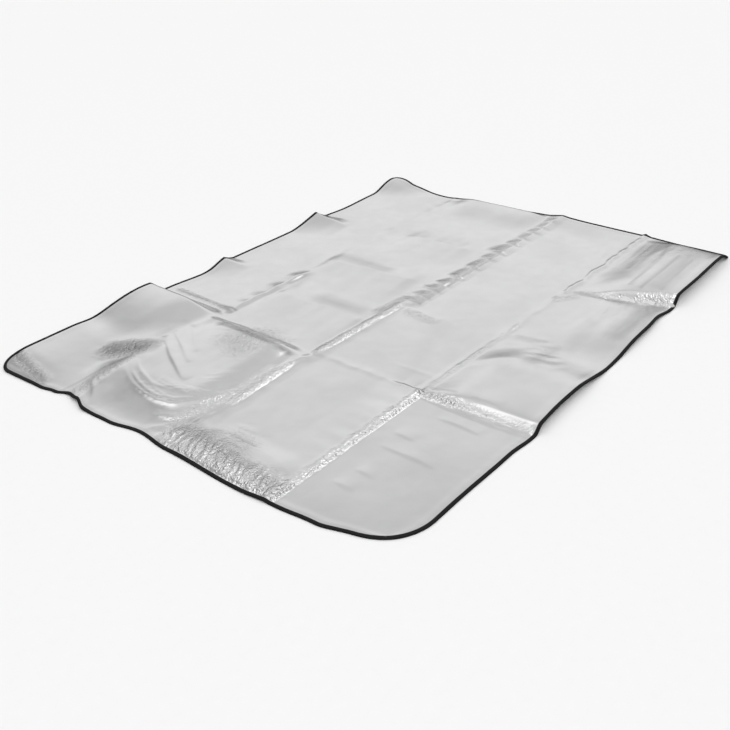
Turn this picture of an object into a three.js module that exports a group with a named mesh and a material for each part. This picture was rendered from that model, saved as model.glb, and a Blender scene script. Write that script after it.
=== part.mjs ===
// Foil-faced foam sleeping mat, opened out on the floor after being stored folded.
// The part is two solids: the laminated sheet, with the swells and fold lines that storage left in it,
// and one binding tape, folded over the sheet's edge and sewn on all the way round.
// Millimetres. X runs along the mat, Y across it, Z up. The origin is the mat's centre, on the floor.
// The near edge is at -Y, the far edge at +Y, the left edge at -X and the right edge at +X.
import * as THREE from "three";

// Driving dimensions
const MAT_LENGTH = 2000;
const MAT_WIDTH = 1500;
const SHEET_THICK = 2.5;
const TAPE_THICK = 0.6;
const TAPE_COVER = 9;
const SEAM_GAP = 0.35;
const CORNER_RADIUS = { nearLeft: 165, nearRight: 26, farRight: 40, farLeft: 60 };

// Worked out from them
const TAPE_STANDS_OUT = TAPE_THICK + SEAM_GAP;
const SHEET_HALF = { x: MAT_LENGTH / 2 - TAPE_STANDS_OUT, y: MAT_WIDTH / 2 - TAPE_STANDS_OUT };
const OPEN_HALF = { x: SHEET_HALF.x - TAPE_COVER, y: SHEET_HALF.y - TAPE_COVER };
const BOUND_HEIGHT = SHEET_THICK + 2 * TAPE_STANDS_OUT;

const FOIL_COLOUR = 0xc9cacb;
const TAPE_COLOUR = 0x1b1b1d;

// How far each edge is drawn in from the straight, by the place along that edge
const EDGE_DRAWN_IN = {
  left: [
    { at: -750, by: 22 },
    { at: -620, by: 32 },
    { at: -530, by: 14 },
    { at: -405, by: 6 },
    { at: -300, by: 0 },
    { at: -20, by: 11 },
    { at: 100, by: 24 },
    { at: 213, by: 7 },
    { at: 320, by: 5 },
    { at: 380, by: 24 },
    { at: 425, by: 32 },
    { at: 475, by: 17 },
    { at: 530, by: 8 },
    { at: 700, by: 4 },
  ],
  right: [
    { at: -750, by: 30 },
    { at: -600, by: 24 },
    { at: -400, by: 9 },
    { at: -200, by: 17 },
    { at: -54, by: 6 },
    { at: 199, by: 24 },
    { at: 444, by: 42 },
    { at: 617, by: 20 },
    { at: 700, by: 0 },
  ],
  near: [
    { at: -760, by: 14 },
    { at: -520, by: 9 },
    { at: -413, by: 0 },
    { at: -250, by: 6 },
    { at: 50, by: 1 },
    { at: 296, by: 4 },
    { at: 400, by: 11 },
    { at: 471, by: 3 },
    { at: 700, by: 0 },
    { at: 1000, by: 4 },
  ],
  far: [
    { at: -1000, by: 8 },
    { at: -337, by: 6 },
    { at: -161, by: 22 },
    { at: -50, by: 6 },
    { at: 299, by: 11 },
    { at: 457, by: 6 },
    { at: 625, by: 21 },
    { at: 800, by: 15 },
    { at: 940, by: 0 },
  ],
};

// Broad swells: a top of the stated height at (x, y) that runs out to nothing at each reach.
// `level` holds the shares of the reach along X and along Y that stay level before the surface falls.
const SWELLS = {
  farLeftRim: { x: -820, y: 750, high: 20, left: 200, right: 300, near: 330, far: 300, level: [0.3, 0.1] },
  farLeftDome: { x: -430, y: 700, high: 46, left: 330, right: 300, near: 300, far: 420, level: [0, 0.3] },
  leftMound: { x: -640, y: 215, high: 25, left: 330, right: 400, near: 230, far: 240, level: [0.4, 0.5] },
  leftRoll: { x: -932, y: -190, high: 11, left: 68, right: 130, near: 200, far: 210, level: [0.1, 0.4] },
  nearArch: { x: -260, y: -760, high: 21, left: 260, right: 290, near: 100, far: 400, level: [0.3, 0.6] },
  nearRise: { x: 250, y: -760, high: 12, left: 210, right: 230, near: 100, far: 240, level: [0.2, 0.2] },
  nearRightPad: { x: 640, y: -720, high: 33, left: 400, right: 600, near: 260, far: 310, level: [0.2, 0.35] },
  farRightLift: { x: 1000, y: 760, high: 25, left: 180, right: 60, near: 260, far: 60, level: [0.05, 0.05] },
  rightLip: { x: 1000, y: -110, high: 9, left: 170, right: 60, near: 330, far: 110, level: [0.1, 0.1] },
  rightHump: { x: 948, y: 170, high: 14, left: 190, right: 34, near: 230, far: 250, level: [0.1, 0.5] },
};

// Steep ends of swells: full height up to a crest line from (x0, y0) to (x1, y1), then down to nothing
// over the run, towards +X where `falls` is 1 and towards -X where it is -1.
const CLIFFS = [
  { cuts: "farLeftDome", x0: -398, y0: 750, x1: -418, y1: 350, run0: 56, run1: 82, falls: 1 },
  { cuts: "leftMound", x0: -428, y0: 440, x1: -440, y1: -20, run0: 52, run1: 56, falls: 1 },
  { cuts: "nearArch", x0: -376, y0: -380, x1: -366, y1: -750, run0: 48, run1: 34, falls: -1 },
  { cuts: "nearRightPad", x0: 398, y0: -420, x1: 518, y1: -750, run0: 8, run1: 42, falls: -1 },
  { cuts: "nearRightPad", x0: 926, y0: -420, x1: 884, y1: -750, run0: 52, run1: 86, falls: 1 },
];

// Fold lines: a ridge from (x0, y0) to (x1, y1), h0 and h1 high at its ends. It falls away over `left` and
// `right`, as seen looking along the line, and fades out over `ends` past each end.
const FOLDS = {
  nearLeft: { x0: -1000, y0: -369, h0: 3, x1: -396, y1: -386, h1: 9, left: 130, right: 17, ends: 12 },
  nearMiddle: { x0: -380, y0: -389, h0: 3, x1: 390, y1: -410, h1: 3, left: 26, right: 14, ends: 20 },
  nearRight: { x0: 398, y0: -412, h0: 4, x1: 1000, y1: -426, h1: 5, left: 16, right: 26, ends: 20 },
  middleLeft: { x0: -900, y0: -6, h0: 3, x1: -455, y1: 12, h1: 9, left: 30, right: 20, ends: 60 },
  middleCentre: { x0: -430, y0: 2, h0: 6, x1: 30, y1: -14, h1: 8, left: 22, right: 16, ends: 30 },
  middleRight: { x0: 40, y0: -34, h0: 9, x1: 985, y1: -56, h1: 9, left: 56, right: 16, ends: 25 },
  farLeft: { x0: -1000, y0: 368, h0: 17, x1: -655, y1: 392, h1: 7, left: 40, right: 90, ends: 15 },
  farCentre: { x0: -330, y0: 424, h0: 5, x1: 0, y1: 414, h1: 7, left: 60, right: 20, ends: 60 },
  farRight: { x0: 20, y0: 414, h0: 1, x1: 985, y1: 398, h1: 2, left: 40, right: 40, ends: 40 },
  peakMiddle: { x0: -51, y0: 760, h0: 19, x1: -44, y1: 620, h1: 0, left: 46, right: 130, ends: 10 },
  peakRight: { x0: 457, y0: 760, h0: 34, x1: 466, y1: 580, h1: 0, left: 56, right: 160, ends: 10 },
  waveLeft: { x0: -140, y0: 360, h0: 6, x1: -150, y1: 40, h1: 7, left: 130, right: 230, ends: 60 },
  waveCentre: { x0: 165, y0: 380, h0: 8, x1: 185, y1: 90, h1: 7, left: 150, right: 210, ends: 60 },
  waveRight: { x0: 510, y0: 280, h0: 5, x1: 515, y1: 80, h1: 6, left: 120, right: 170, ends: 70 },
  crossMiddle: { x0: -386, y0: -20, h0: 3, x1: -390, y1: -375, h1: 2, left: 20, right: 14, ends: 10 },
  crossCentre: { x0: 0, y0: -56, h0: 4, x1: -5, y1: -170, h1: 2, left: 22, right: 14, ends: 30 },
};
const FOLD_SHARPNESS = 1.4;

// Grid lines over the open face of the sheet, closer together where the surface bends
const GRID_X = [
  { to: -880, steps: 4 },
  { to: -655, steps: 5 },
  { to: -448, steps: 4 },
  { to: -340, steps: 4 },
  { to: -51, steps: 6 },
  { to: 5, steps: 2 },
  { to: 374, steps: 8 },
  { to: 398, steps: 2 },
  { to: 457, steps: 2 },
  { to: 515, steps: 2 },
  { to: 900, steps: 7 },
  { to: OPEN_HALF.x, steps: 5 },
];
const GRID_Y = [
  { to: -640, steps: 4 },
  { to: -428, steps: 4 },
  { to: -366, steps: 3 },
  { to: -66, steps: 6 },
  { to: 14, steps: 4 },
  { to: 340, steps: 7 },
  { to: 424, steps: 3 },
  { to: 640, steps: 5 },
  { to: OPEN_HALF.y, steps: 4 },
];

const clamp = (value, low, high) => Math.min(high, Math.max(low, value));
const mix = (a, b, share) => a + (b - a) * share;
const easeDown = (share) => (1 + Math.cos(Math.PI * clamp(share, 0, 1))) / 2;

// Value of a table of places, eased from row to row
function fromTable(rows, at) {
  const next = rows.findIndex((row) => row.at > at);
  if (next === 0) return rows[0].by;
  if (next < 0) return rows[rows.length - 1].by;
  const before = rows[next - 1];
  const after = rows[next];
  const share = (at - before.at) / (after.at - before.at);
  return mix(after.by, before.by, easeDown(share));
}

// 1 on a swell's level top, easing to 0 at its reach
function fallOff(distance, reach, level) {
  return easeDown((Math.abs(distance) / reach - level) / (1 - level));
}

function cliffShare(cliff, x, y) {
  const share = clamp((y - cliff.y0) / (cliff.y1 - cliff.y0), 0, 1);
  const past = (x - mix(cliff.x0, cliff.x1, share)) * cliff.falls;
  return easeDown(past / mix(cliff.run0, cliff.run1, share));
}

function swellHeight(swell, x, y) {
  const dx = x - swell.x;
  const dy = y - swell.y;
  const acrossX = fallOff(dx, dx < 0 ? swell.left : swell.right, swell.level[0]);
  const acrossY = fallOff(dy, dy < 0 ? swell.near : swell.far, swell.level[1]);
  const cut = swell.cliffs.reduce((share, cliff) => share * cliffShare(cliff, x, y), 1);
  return swell.high * acrossX * acrossY * cut;
}

function foldHeight(fold, x, y) {
  const length = Math.hypot(fold.x1 - fold.x0, fold.y1 - fold.y0);
  const alongX = (fold.x1 - fold.x0) / length;
  const alongY = (fold.y1 - fold.y0) / length;
  const along = (x - fold.x0) * alongX + (y - fold.y0) * alongY;
  const across = (y - fold.y0) * alongX - (x - fold.x0) * alongY;
  const past = Math.max(0, -along, along - length);
  const width = across > 0 ? fold.left : fold.right;
  const side = Math.max(0, 1 - Math.abs(across) / width);
  const ridge = mix(fold.h0, fold.h1, clamp(along / length, 0, 1));
  return ridge * side ** FOLD_SHARPNESS * easeDown(past / fold.ends);
}

const swells = Object.entries(SWELLS).map(([name, swell]) => ({
  ...swell,
  cliffs: CLIFFS.filter((cliff) => cliff.cuts === name),
}));
const folds = Object.values(FOLDS);

// Height of the sheet's underside over the floor. Swells merge into one another, and folds stand on them.
function relief(x, y) {
  const merged = Math.cbrt(swells.reduce((sum, swell) => sum + swellHeight(swell, x, y) ** 3, 0));
  return folds.reduce((sum, fold) => sum + foldHeight(fold, x, y), merged);
}

// A straight-edged plan point, drawn in with the edges
function drawnIn(x, y) {
  const towardsRight = clamp((x + SHEET_HALF.x) / (2 * SHEET_HALF.x), 0, 1);
  const towardsFar = clamp((y + SHEET_HALF.y) / (2 * SHEET_HALF.y), 0, 1);
  const { left, right, near, far } = EDGE_DRAWN_IN;
  return {
    x: x + mix(fromTable(left, y), -fromTable(right, y), towardsRight),
    y: y + mix(fromTable(near, x), -fromTable(far, x), towardsFar),
  };
}

function gridLines(start, spans) {
  const lines = [start];
  for (const span of spans) {
    const from = lines[lines.length - 1];
    for (let step = 1; step <= span.steps; step++) {
      lines.push(mix(from, span.to, step / span.steps));
    }
  }
  return lines;
}

// A point of the straight grid moved into the rounded outline, with the way out at its edge
function roundedPoint(x, y) {
  const sideX = Math.sign(x) || 1;
  const sideY = Math.sign(y) || 1;
  const corner = (sideY < 0 ? "near" : "far") + (sideX < 0 ? "Left" : "Right");
  const radius = CORNER_RADIUS[corner] - TAPE_STANDS_OUT - TAPE_COVER;
  const centreX = sideX * (OPEN_HALF.x - radius);
  const centreY = sideY * (OPEN_HALF.y - radius);
  const p = Math.max(0, ((x - centreX) * sideX) / radius);
  const q = Math.max(0, ((y - centreY) * sideY) / radius);
  if (p === 0 || q === 0) {
    const onSide = p > q;
    return { x, y, outX: onSide ? sideX : 0, outY: onSide ? 0 : sideY };
  }
  const outX = sideX * p * Math.sqrt(1 - (q * q) / 2);
  const outY = sideY * q * Math.sqrt(1 - (p * p) / 2);
  return { x: centreX + radius * outX, y: centreY + radius * outY, outX, outY };
}

function placed(x, y) {
  const plan = drawnIn(x, y);
  return { x: plan.x, y: plan.y, height: relief(plan.x, plan.y) };
}

// The grid's lines lean over with the pleat's crest, so that it falls on one of them
const PLEAT_LEAN = { x: 398, by: 120, from: -420, to: -750, left: 398, right: 430 };

function leaned(x, y) {
  const down = clamp((y - PLEAT_LEAN.from) / (PLEAT_LEAN.to - PLEAT_LEAN.from), 0, 1);
  const away = x - PLEAT_LEAN.x;
  const share = 1 - clamp(Math.abs(away) / (away < 0 ? PLEAT_LEAN.left : PLEAT_LEAN.right), 0, 1);
  return x + PLEAT_LEAN.by * down * share;
}

const linesX = gridLines(-OPEN_HALF.x, GRID_X);
const linesY = gridLines(-OPEN_HALF.y, GRID_Y);
const columns = linesX.length;
const rows = linesY.length;
const grid = linesY.map((y) => linesX.map((x) => roundedPoint(leaned(x, y), y)));

// The grid's edge places, once round against the clock from the near left corner
const edgeCells = [];
for (let i = 0; i < columns - 1; i++) edgeCells.push([i, 0]);
for (let j = 0; j < rows - 1; j++) edgeCells.push([columns - 1, j]);
for (let i = columns - 1; i > 0; i--) edgeCells.push([i, rows - 1]);
for (let j = rows - 1; j > 0; j--) edgeCells.push([0, j]);

// Each station of the edge: the sheet's rim, and the place inside it where the tape ends
const stations = edgeCells.map(([i, j]) => {
  const point = grid[j][i];
  return {
    cell: [i, j],
    tapeEnd: placed(point.x, point.y),
    rim: placed(point.x + TAPE_COVER * point.outX, point.y + TAPE_COVER * point.outY),
  };
});

function meshOf(name, vertices, faces, colour, roughness, metalness) {
  const geometry = new THREE.BufferGeometry();
  geometry.setAttribute("position", new THREE.Float32BufferAttribute(vertices.flat(), 3));
  geometry.setIndex(faces.flat());
  geometry.computeVertexNormals();
  const material = new THREE.MeshStandardMaterial({ color: colour, roughness, metalness });
  const mesh = new THREE.Mesh(geometry, material);
  mesh.name = name;
  return mesh;
}

const quad = (a, b, c, d) => [
  [a, b, c],
  [a, c, d],
];

// The sheet: an open face each way, a band under the tape and the cut rim, lifted by the tape below it
function foilSheet() {
  const vertices = [];
  const faces = [];
  const isEdge = (i, j) => i === 0 || j === 0 || i === columns - 1 || j === rows - 1;
  const open = grid.map((line, j) =>
    line.map((point, i) => {
      const place = placed(point.x, point.y);
      const bottom = place.height + (isEdge(i, j) ? TAPE_STANDS_OUT : 0);
      vertices.push([place.x, place.y, bottom], [place.x, place.y, bottom + SHEET_THICK]);
      return vertices.length - 2;
    }),
  );
  const rim = stations.map(({ rim: place }) => {
    const bottom = place.height + TAPE_STANDS_OUT;
    vertices.push([place.x, place.y, bottom], [place.x, place.y, bottom + SHEET_THICK]);
    return vertices.length - 2;
  });
  for (let j = 0; j < rows - 1; j++) {
    for (let i = 0; i < columns - 1; i++) {
      const [a, b, c, d] = [open[j][i], open[j][i + 1], open[j + 1][i + 1], open[j + 1][i]];
      faces.push(...quad(a + 1, b + 1, c + 1, d + 1), ...quad(a, d, c, b));
    }
  }
  stations.forEach((station, k) => {
    const next = (k + 1) % stations.length;
    const [i, j] = station.cell;
    const [nextI, nextJ] = stations[next].cell;
    const [a, b, c, d] = [rim[k], rim[next], open[nextJ][nextI], open[j][i]];
    faces.push(...quad(a + 1, b + 1, c + 1, d + 1), ...quad(a, d, c, b), ...quad(a, b, b + 1, a + 1));
  });
  return meshOf("foil_sheet", vertices, faces, FOIL_COLOUR, 0.35, 0.9);
}

// The tape: a U-shaped section swept round the sheet's edge. Where the mat lies flat, it rests on the floor.
function edgeBinding() {
  const vertices = [];
  const faces = [];
  const sectionPoints = 8;
  for (const { rim, tapeEnd } of stations) {
    const outX = (rim.x - tapeEnd.x) / TAPE_COVER;
    const outY = (rim.y - tapeEnd.y) / TAPE_COVER;
    const rise = (rim.height - tapeEnd.height) / TAPE_COVER;
    const outside = (past, above) => [
      rim.x + outX * past,
      rim.y + outY * past,
      Math.max(0, rim.height + rise * past) + above,
    ];
    const inside = (above) => [tapeEnd.x, tapeEnd.y, tapeEnd.height + above];
    vertices.push(
      outside(TAPE_STANDS_OUT, 0),
      outside(TAPE_STANDS_OUT, BOUND_HEIGHT),
      inside(BOUND_HEIGHT),
      inside(BOUND_HEIGHT - TAPE_THICK),
      outside(SEAM_GAP, BOUND_HEIGHT - TAPE_THICK),
      outside(SEAM_GAP, TAPE_THICK),
      inside(TAPE_THICK),
      inside(0),
    );
  }
  for (let k = 0; k < stations.length; k++) {
    const here = k * sectionPoints;
    const there = ((k + 1) % stations.length) * sectionPoints;
    for (let s = 0; s < sectionPoints; s++) {
      const after = (s + 1) % sectionPoints;
      const [a, b, c, d] = [here + s, there + s, there + after, here + after];
      const comesOut = s === 3 || s === 7;
      faces.push(...(comesOut ? quad(d, a, b, c) : quad(a, b, c, d)));
    }
  }
  return meshOf("edge_binding", vertices, faces, TAPE_COLOUR, 0.85, 0);
}

const mat = new THREE.Group();
mat.name = "sleeping_mat";
mat.add(foilSheet(), edgeBinding());

export default mat;
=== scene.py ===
"""Foil-faced foam sleeping mat, opened out on a pale studio floor.

Tables and shape functions are in millimetres, in the mat's own frame: X along it, Y across it, Z up.
Meshes, lights and the camera are in metres. The near edge is at -Y and the left edge at -X.
"""

import math
from collections import namedtuple

import bpy
import numpy as np
from mathutils import Matrix


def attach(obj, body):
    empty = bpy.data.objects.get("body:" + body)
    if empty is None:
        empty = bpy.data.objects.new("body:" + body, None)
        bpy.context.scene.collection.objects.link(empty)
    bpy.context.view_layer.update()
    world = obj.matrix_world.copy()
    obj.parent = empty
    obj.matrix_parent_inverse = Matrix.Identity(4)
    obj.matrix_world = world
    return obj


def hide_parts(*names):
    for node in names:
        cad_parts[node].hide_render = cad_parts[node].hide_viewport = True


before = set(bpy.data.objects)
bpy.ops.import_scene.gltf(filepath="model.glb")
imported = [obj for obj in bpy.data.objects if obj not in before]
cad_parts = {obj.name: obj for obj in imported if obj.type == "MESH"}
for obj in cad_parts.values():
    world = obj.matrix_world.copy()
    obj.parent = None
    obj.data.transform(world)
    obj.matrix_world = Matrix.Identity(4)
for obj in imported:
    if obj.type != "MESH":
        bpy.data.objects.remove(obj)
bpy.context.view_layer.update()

MM = 0.001

# Driving dimensions of the mat, as they are cut and sewn
MAT_LENGTH = 2000
MAT_WIDTH = 1500
SHEET_THICK = 2.5
TAPE_THICK = 0.6
TAPE_COVER = 9
SEAM_GAP = 0.35
TAPE_STANDS_OUT = TAPE_THICK + SEAM_GAP
HALF_LENGTH = MAT_LENGTH / 2 - TAPE_STANDS_OUT
HALF_WIDTH = MAT_WIDTH / 2 - TAPE_STANDS_OUT
CORNER_RADIUS = {"near_left": 165, "near_right": 26, "far_right": 40, "far_left": 60}

# How far each edge is drawn in from the straight: place along the edge, and by how much
DRAWN_IN_LEFT = [
    (-750, 22), (-620, 32), (-530, 14), (-405, 6), (-300, 0), (-20, 11), (100, 24), (213, 7), (320, 5),
    (380, 24), (425, 32), (475, 17), (530, 8), (700, 4),
]
DRAWN_IN_RIGHT = [
    (-750, 30), (-600, 24), (-400, 9), (-200, 17), (-54, 6), (199, 24), (444, 42), (617, 20), (700, 0),
]
DRAWN_IN_NEAR = [
    (-760, 14), (-520, 9), (-413, 0), (-250, 6), (50, 1), (296, 4), (400, 11), (471, 3), (700, 0), (1000, 4),
]
DRAWN_IN_FAR = [
    (-1000, 8), (-337, 6), (-161, 22), (-50, 6), (299, 11), (457, 6), (625, 21), (800, 15), (940, 0),
]

# Broad swells: height at a centre, how far it runs out each way, and the share of that which stays level
Swell = namedtuple("Swell", "x y high left right near far level_x level_y")
SWELLS = {
    "far_left_rim": Swell(-820, 750, 20, 200, 300, 330, 300, 0.3, 0.1),
    "far_left_dome": Swell(-430, 700, 46, 330, 300, 380, 420, 0, 0.3),
    "left_mound": Swell(-640, 215, 25, 330, 400, 230, 330, 0.4, 0.4),
    "mound_back": Swell(-600, 450, 19, 260, 190, 150, 190, 0.2, 0.1),
    "left_roll": Swell(-932, -190, 11, 68, 130, 200, 210, 0.1, 0.4),
    "near_arch": Swell(-260, -760, 21, 260, 290, 100, 400, 0.3, 0.6),
    "near_rise": Swell(250, -760, 12, 210, 230, 100, 240, 0.2, 0.2),
    "near_right_pad": Swell(640, -720, 33, 400, 600, 260, 310, 0.2, 0.35),
    "far_right_lift": Swell(1000, 760, 25, 180, 60, 260, 60, 0.05, 0.05),
    "right_lip": Swell(1000, -110, 9, 170, 60, 330, 110, 0.1, 0.1),
    "right_hump": Swell(948, 170, 14, 190, 34, 230, 250, 0.1, 0.5),
}

# Steep ends of swells: a crest line, the run of the slope at each of its ends, and 1 for a fall to the right
# or -1 for one to the left
Cliff = namedtuple("Cliff", "cuts x0 y0 x1 y1 run0 run1 falls")
CLIFFS = [
    Cliff("far_left_dome", -398, 750, -418, 350, 56, 82, 1),
    Cliff("left_mound", -428, 440, -440, -20, 52, 56, 1),
    Cliff("mound_back", -415, 520, -430, 340, 60, 60, 1),
    Cliff("near_arch", -376, -380, -366, -750, 48, 34, -1),
    Cliff("near_right_pad", 398, -420, 518, -750, 8, 42, -1),
    Cliff("near_right_pad", 926, -420, 884, -750, 52, 86, 1),
]

# Fold lines: a ridge's two ends, the runs of its left and right sides, and how far it runs on past its ends
Fold = namedtuple("Fold", "x0 y0 h0 x1 y1 h1 left right ends")
FOLDS = {
    "near_left": Fold(-1000, -369, 3, -396, -386, 9, 130, 17, 12),
    "near_middle": Fold(-380, -389, 1.6, 390, -410, 1.4, 26, 20, 20),
    "near_right": Fold(398, -412, 4, 1000, -426, 5, 16, 26, 20),
    "middle_left": Fold(-900, -6, 3, -455, 12, 4, 34, 44, 60),
    "middle_centre": Fold(-430, 2, 3.4, 30, -14, 4.5, 24, 40, 30),
    "middle_right": Fold(40, -46, 3, 985, -82, 3, 56, 34, 25),
    "far_left": Fold(-1000, 368, 10, -655, 392, 2, 90, 90, 15),
    "far_centre": Fold(-330, 424, 5, 0, 414, 7, 60, 20, 60),
    "far_right": Fold(20, 414, 1, 985, 398, 2, 40, 40, 40),
    "peak_middle": Fold(-51, 760, 19, -44, 620, 0, 46, 130, 10),
    "peak_right": Fold(457, 760, 34, 466, 580, 0, 56, 160, 10),
    "wave_left": Fold(-140, 360, 6, -150, 40, 7, 130, 230, 60),
    "wave_centre": Fold(165, 380, 8, 185, 90, 7, 150, 210, 60),
    "wave_right": Fold(510, 280, 5, 515, 80, 6, 120, 170, 70),
    "cross_middle": Fold(-386, -20, 1.4, -390, -375, 1, 26, 20, 10),
    "cross_centre": Fold(0, -56, 1.8, -5, -170, 0.8, 26, 20, 30),
}
FOLD_SHARPNESS = 1.4
# How far a ridge sways, how uneven it is, and over what length each changes
FOLD_SWAY = 8
FOLD_SWAY_LENGTH = 75
FOLD_UNEVEN = 0.9
FOLD_UNEVEN_LENGTH = 48
# A fold that is wider than this is less uneven
NARROW_FOLD = 45

# Long wrinkles in the foil: a ridge's height, the run of its left and right flanks, and its path
Wrinkle = namedtuple("Wrinkle", "high left right path")
WRINKLES = {
    "mound_main": Wrinkle(5.0, 6, 26, [
        (-748, 170), (-740, 195), (-711, 250), (-672, 322), (-640, 370), (-604, 432),
    ]),
    "mound_second": Wrinkle(3.4, 5, 14, [(-675, 240), (-645, 288), (-623, 322), (-592, 375), (-560, 432)]),
    "mound_third": Wrinkle(2.2, 6, 16, [(-618, 270), (-590, 305), (-565, 335), (-530, 375), (-500, 425)]),
    "mound_between": Wrinkle(2.6, 5, 9, [(-747, 377), (-776, 334), (-795, 287), (-809, 238), (-808, 190)]),
    "mound_outer": Wrinkle(2.2, 5, 10, [
        (-792, 380), (-818, 337), (-842, 276), (-855, 207), (-856, 153), (-842, 104), (-800, 72), (-745, 42),
    ]),
    "mound_outer_twin": Wrinkle(2.0, 4, 6, [(-795, 348), (-814, 308), (-832, 255), (-842, 202), (-843, 150)]),
    "mound_shoulder": Wrinkle(4.5, 34, 16, [(-462, 345), (-460, 280), (-464, 180), (-468, 60)]),
    "far_left_kink": Wrinkle(2.2, 7, 12, [(-968, 322), (-925, 358), (-905, 385), (-888, 425)]),
    "roll_crest": Wrinkle(4.0, 60, 42, [(-940, -350), (-915, -250), (-895, -150), (-888, -60), (-872, 10)]),
    "foot_left": Wrinkle(2.0, 6, 5, [(-957, 52), (-935, 22), (-912, 8)]),
    "arc_one": Wrinkle(1.5, 14, 34, [(-98, -528), (-130, -490), (-160, -448), (-178, -412)]),
    "arc_two": Wrinkle(1.0, 12, 26, [(-12, -468), (-45, -430), (-62, -402)]),
    "arc_three": Wrinkle(1.5, 16, 34, [(52, -528), (42, -480), (35, -440), (20, -408)]),
    "step_line_low": Wrinkle(1.8, 7, 4, [(-415, -630), (-414, -560), (-412, -480), (-406, -398)]),
    "step_line_high": Wrinkle(1.8, 6, 4, [(-396, -742), (-398, -640), (-397, -520), (-392, -396)]),
    "step_dash": Wrinkle(2.4, 6, 44, [(-364, -622), (-362, -575), (-362, -528)]),
    "step_crest": Wrinkle(3.6, 10, 44, [(-384, -540), (-382, -480), (-380, -430), (-378, -388)]),
    "glint_one": Wrinkle(1.4, 5, 30, [(-660, -620), (-656, -560), (-657, -500), (-655, -450)]),
    "glint_two": Wrinkle(1.3, 5, 30, [(-842, -510), (-838, -455)]),
    "glint_three": Wrinkle(1.3, 5, 30, [(-775, -520), (-770, -470)]),
    "glint_four": Wrinkle(1.4, 5, 30, [(-594, -510), (-588, -448)]),
    "glint_five": Wrinkle(1.4, 5, 30, [(-476, -632), (-470, -560), (-472, -500)]),
    "cross_middle_line": Wrinkle(1.8, 6, 40, [(-390, -356), (-388, -336), (-388, -316)]),
    "panel_line": Wrinkle(1.0, 5, 5, [(-306, -400), (-303, -300), (-305, -220)]),
    "far_centre_streak": Wrinkle(2.6, 16, 5, [(-185, 408), (-130, 402), (-76, 396)]),
}
PINCHES = [
    [(107, 30), (86, -47), (101, -62)],
    [(181, 18), (147, -39)],
    [(231, -1), (210, -47), (252, -54)],
    [(298, -17), (285, -57), (293, -72)],
    [(390, -24), (391, -60)],
    [(552, -10), (551, -64)],
    [(648, -26), (649, -84)],
]
WRINKLES |= {f"pinch_{number}": Wrinkle(2.0, 12, 5, path) for number, path in enumerate(PINCHES)}
WRINKLE_SHARPNESS = 1.5
# How far beside its path a wrinkle is worked out, in flanks, and a sheaf, in its own width
WRINKLE_REACH = 2.5
SHEAF_REACH = 1.2
CURVE_STEPS = 6

# Sheaves of fine wrinkles along a path: height, how far they reach to its right and left at its start and
# end, how many lie side by side, and how long each runs
Sheaf = namedtuple("Sheaf", "high start_right start_left end_right end_left count length path")
SHEAVES = {
    "mound_round": Sheaf(2.6, 4, 46, 10, 16, 8, 70, [
        (-806, 330), (-842, 270), (-855, 207), (-856, 153), (-838, 104), (-790, 64), (-739, 40), (-690, 24),
    ]),
    "mound_inside": Sheaf(2.4, 22, 26, 12, 12, 7, 60, [
        (-785, 240), (-790, 180), (-780, 120), (-752, 70), (-690, 28),
    ]),
    "low": Sheaf(3.0, 14, 26, 14, 12, 7, 60, [(-912, 130), (-883, 72), (-849, 41), (-794, 22), (-700, 16)]),
    "lowest": Sheaf(2.8, 18, 16, 12, 12, 6, 60, [(-955, 105), (-915, 60), (-860, 22), (-794, 6)]),
    "foot": Sheaf(2.6, 12, 14, 10, 12, 5, 60, [(-980, 56), (-945, 26), (-900, 10), (-850, 8), (-806, 10)]),
    "mound_top": Sheaf(1.1, 60, 50, 40, 30, 12, 90, [(-720, 160), (-690, 110), (-640, 60), (-590, 30)]),
    "knot": Sheaf(2.6, 16, 18, 16, 16, 6, 24, [(-740, -2), (-620, 6), (-508, 14), (-425, 20)]),
    "step": Sheaf(2.8, 26, 24, 28, 12, 8, 60, [(-390, -386), (-400, -480), (-404, -600), (-398, -745)]),
    "cross_centre": Sheaf(1.6, 20, 12, 20, 12, 4, 50, [(-4, -50), (-12, -110), (-20, -170)]),
    "near_line": Sheaf(1.6, 10, 8, 12, 8, 3, 40, [(-985, -380), (-700, -384), (-400, -392)]),
    "middle_line": Sheaf(2.2, 16, 16, 16, 14, 5, 26, [(-400, 0), (-200, -6), (40, -20)]),
}

# Pleats that lean on the middle fold: the X at which each stands up and at which it runs out, how far it
# reaches up the far side, and how high it is
Pleat = namedtuple("Pleat", "start end up high")
PLEATS = [
    Pleat(52, 100, 60, 3.5), Pleat(100, 160, 66, 4.2), Pleat(158, 220, 64, 4.8), Pleat(218, 288, 50, 3.6),
    Pleat(288, 392, 56, 6), Pleat(390, 482, 48, 5), Pleat(483, 550, 48, 3.6), Pleat(550, 650, 76, 7),
    Pleat(648, 712, 46, 3.6), Pleat(716, 786, 38, 3), Pleat(790, 846, 44, 4), Pleat(850, 918, 40, 4),
    Pleat(918, 965, 32, 3),
]
# The run over which a pleat stands up, how far it hangs down the near side, and its lean
PLEAT_RISE = 9
PLEAT_DROP = 34
PLEAT_LEAN = 0.12

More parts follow.
